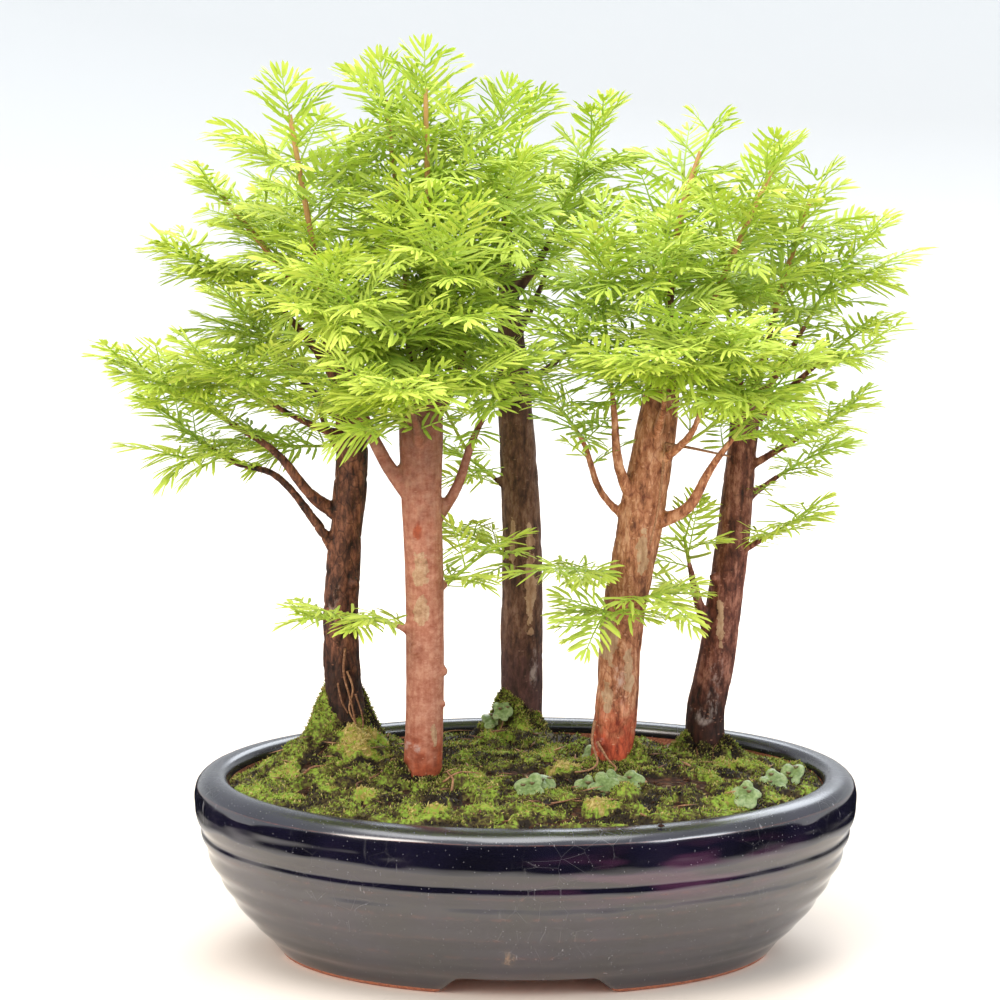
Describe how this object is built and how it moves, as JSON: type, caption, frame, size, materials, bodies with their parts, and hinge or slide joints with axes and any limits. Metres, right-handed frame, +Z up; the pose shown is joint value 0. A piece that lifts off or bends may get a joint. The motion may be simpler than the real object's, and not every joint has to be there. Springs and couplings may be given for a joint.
{
  "type": "dawn redwood bonsai forest",
  "caption": "Group of slim dawn redwood trees with feathery fresh needles, growing from mossy soil in an oval glazed bonsai tray on low feet.",
  "frame": {"origin": "on the surface that the tray stands on, under the middle of the whole planting's bounding box", "axes": "+Z up along the trunks, +X to the viewer's right along the tray's long axis, -Y towards the front of the planting"},
  "size_m": [0.3214, 0.2345, 0.3583],
  "materials": {
    "glaze": "polished",
    "mesh_plastic": "satin",
    "soil": "matte",
    "moss": "matte",
    "dark_bark": "matte",
    "red_bark": "matte",
    "needles": "satin"
  },
  "bodies": {
    "root": {"tray": "glaze", "drain_mesh_left": "mesh_plastic", "drain_mesh_right": "mesh_plastic", "soil": "soil", "moss": "moss", "tree_left": "dark_bark", "tree_front": "red_bark", "tree_back": "dark_bark", "tree_middle": "red_bark", "tree_right": "dark_bark", "shoot_left_01": "needles", "shoot_left_02": "needles", "shoot_left_03": "needles", "shoot_left_04": "needles", "shoot_left_05": "needles", "shoot_left_06": "needles", "shoot_left_07": "needles", "shoot_left_08": "needles", "shoot_front_01": "needles", "shoot_front_02": "needles", "shoot_front_03": "needles", "shoot_front_04": "needles", "shoot_front_05": "needles", "shoot_front_06": "needles", "shoot_front_07": "needles", "shoot_front_08": "needles", "shoot_front_09": "needles", "shoot_front_10": "needles", "shoot_back_01": "needles", "shoot_back_02": "needles", "shoot_back_03": "needles", "shoot_back_04": "needles", "shoot_back_05": "needles", "shoot_back_06": "needles", "shoot_back_07": "needles", "shoot_back_08": "needles", "shoot_middle_01": "needles", "shoot_middle_02": "needles", "shoot_middle_03": "needles", "shoot_middle_04": "needles", "shoot_middle_05": "needles", "shoot_middle_06": "needles", "shoot_middle_07": "needles", "shoot_middle_08": "needles", "shoot_middle_09": "needles", "shoot_middle_10": "needles", "shoot_middle_11": "needles", "shoot_right_01": "needles", "shoot_right_02": "needles", "shoot_right_03": "needles", "shoot_right_04": "needles", "shoot_right_05": "needles", "shoot_right_06": "needles", "shoot_right_07": "needles", "shoot_right_08": "needles", "shoot_right_09": "needles"}
  },
  "joints": []
}
